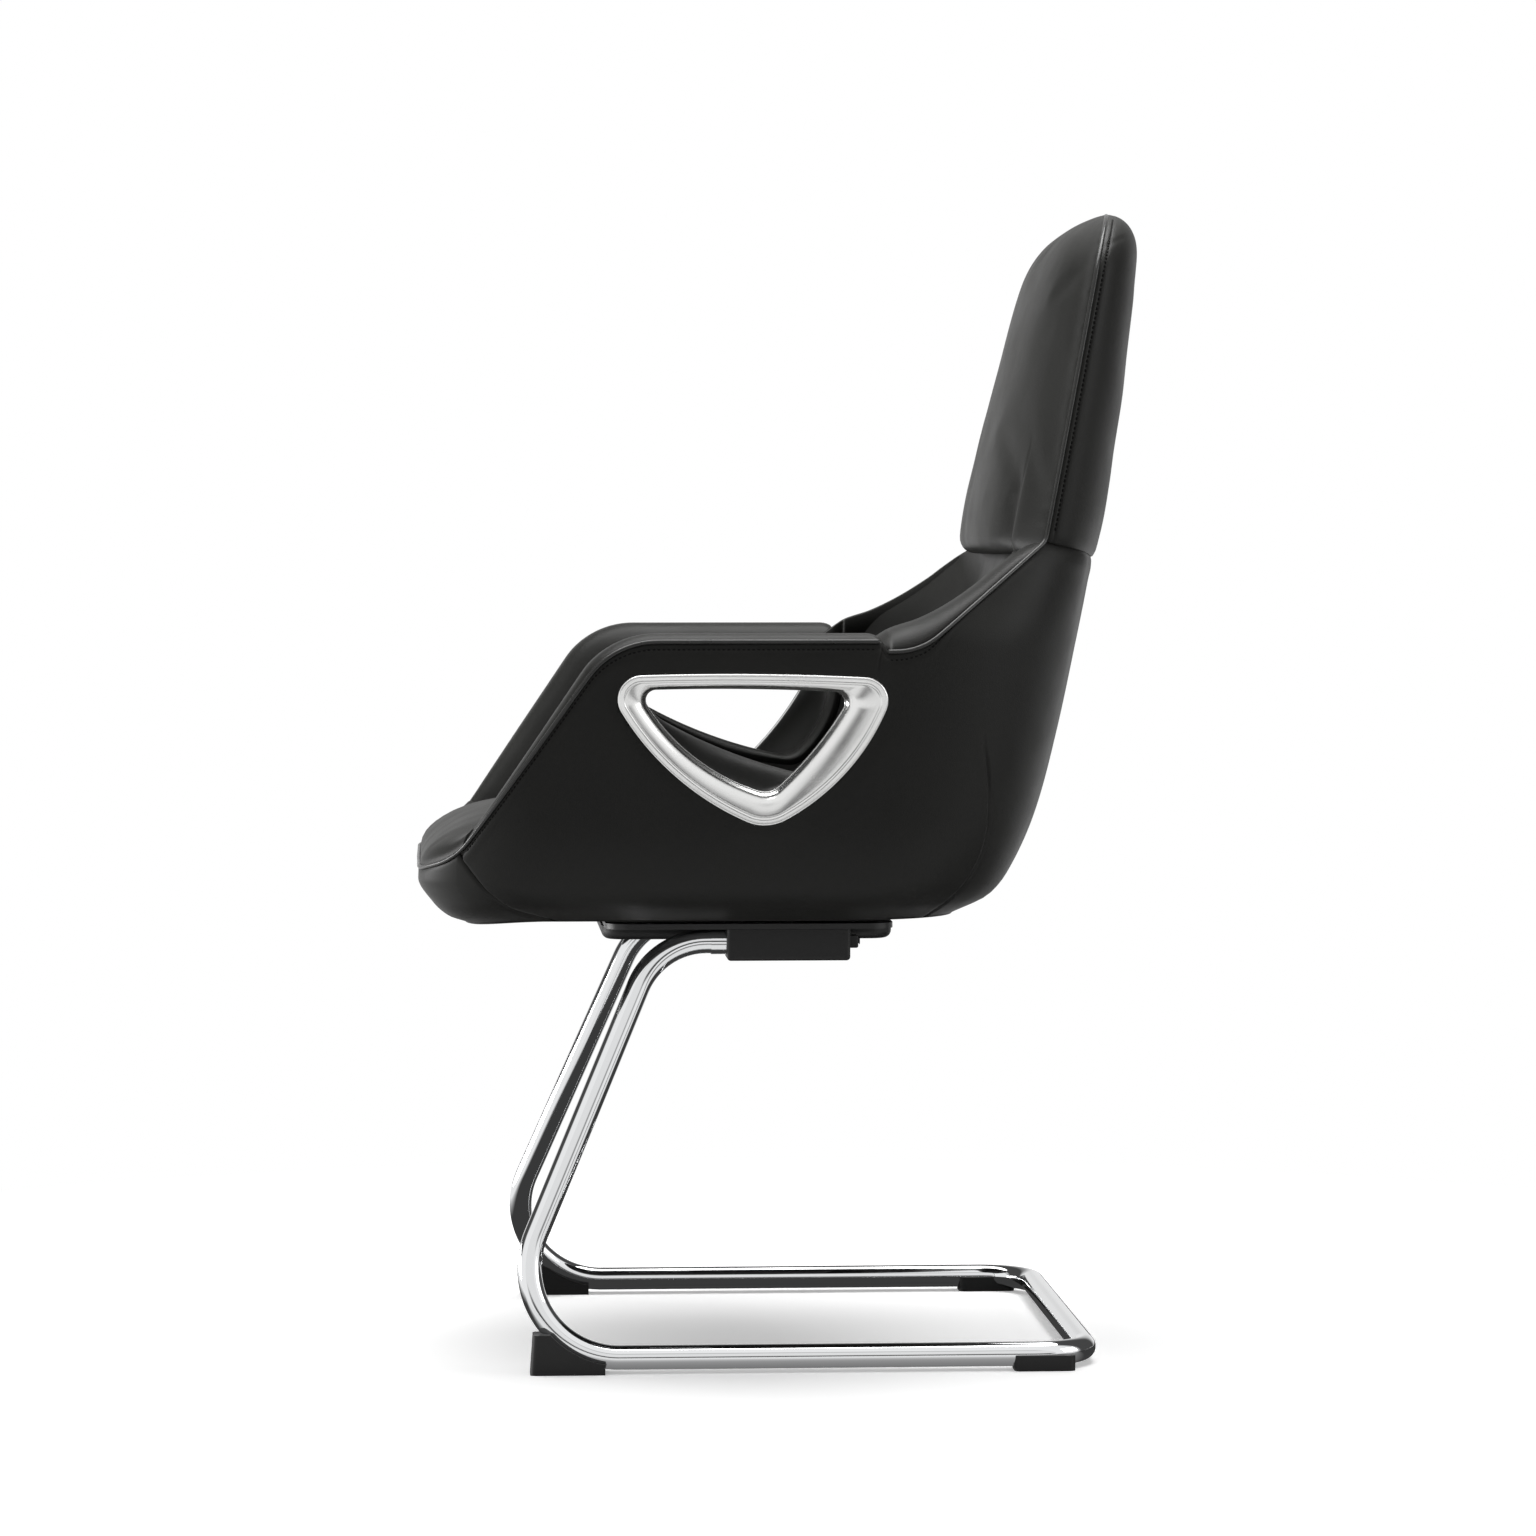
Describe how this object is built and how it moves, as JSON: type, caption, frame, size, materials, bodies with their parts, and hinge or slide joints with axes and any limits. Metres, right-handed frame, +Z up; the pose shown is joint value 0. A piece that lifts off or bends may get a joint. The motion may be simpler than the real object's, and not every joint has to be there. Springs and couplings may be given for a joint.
{
  "type": "executive visitor chair",
  "caption": "High-back upholstered executive chair with looped arms and metal arm bezels on a bent-tube cantilever sled frame, for sitting at a desk or meeting table.",
  "frame": {"origin": "on the floor, at the middle of the chair's width and depth", "axes": "+Z up, -Y the way the sitter faces, +X towards the sitter's left hand"},
  "size_m": [0.6278, 0.6661, 1.048],
  "materials": {
    "chrome_tube": "mirror-bright chrome plating on bent steel tube",
    "black_leather": "semi-matt black leather with a fine grain over foam",
    "polished_aluminium": "satin polished cast aluminium",
    "moulded_plastic": "black moulded plastic with a fine spark texture",
    "black_steel": "black powder-coated steel",
    "zinc_steel": "zinc-plated steel fasteners",
    "plywood": "raw birch plywood",
    "black_fabric": "black non-woven dust cloth"
  },
  "bodies": {
    "root": {"back_straps": "black_steel", "core_screws": "zinc_steel", "cover_screws": "zinc_steel", "dust_cover": "black_fabric", "foot_screws": "zinc_steel", "front_apron": "black_leather", "left_arm_core": "plywood", "left_arm_lining": "black_leather", "left_arm_pad": "black_leather", "left_arm_ring": "polished_aluminium", "left_front_foot": "moulded_plastic", "left_opening_liner": "black_leather", "left_rear_glide": "moulded_plastic", "left_side_panel": "black_leather", "left_socket_block": "black_steel", "left_socket_cover": "moulded_plastic", "left_tube_ferrule": "chrome_tube", "left_wing_roll": "black_leather", "lower_back_cushion": "black_leather", "lower_board": "plywood", "mounting_plate": "black_steel", "outer_back": "black_leather", "plate_bolts": "zinc_steel", "plate_shroud": "moulded_plastic", "plate_spacers": "zinc_steel", "right_arm_core": "plywood", "right_arm_lining": "black_leather", "right_arm_pad": "black_leather", "right_arm_ring": "polished_aluminium", "right_front_foot": "moulded_plastic", "right_opening_liner": "black_leather", "right_rear_glide": "moulded_plastic", "right_side_panel": "black_leather", "right_socket_block": "black_steel", "right_socket_cover": "moulded_plastic", "right_tube_ferrule": "chrome_tube", "right_wing_roll": "black_leather", "ring_studs": "zinc_steel", "seat_board": "plywood", "seat_cushion": "black_leather", "shroud_screws": "zinc_steel", "sled_frame": "chrome_tube", "socket_bolts": "zinc_steel", "tee_nuts": "zinc_steel", "upper_back_cushion": "black_leather", "upper_back_shell": "black_leather", "upper_board": "plywood"}
  },
  "joints": []
}
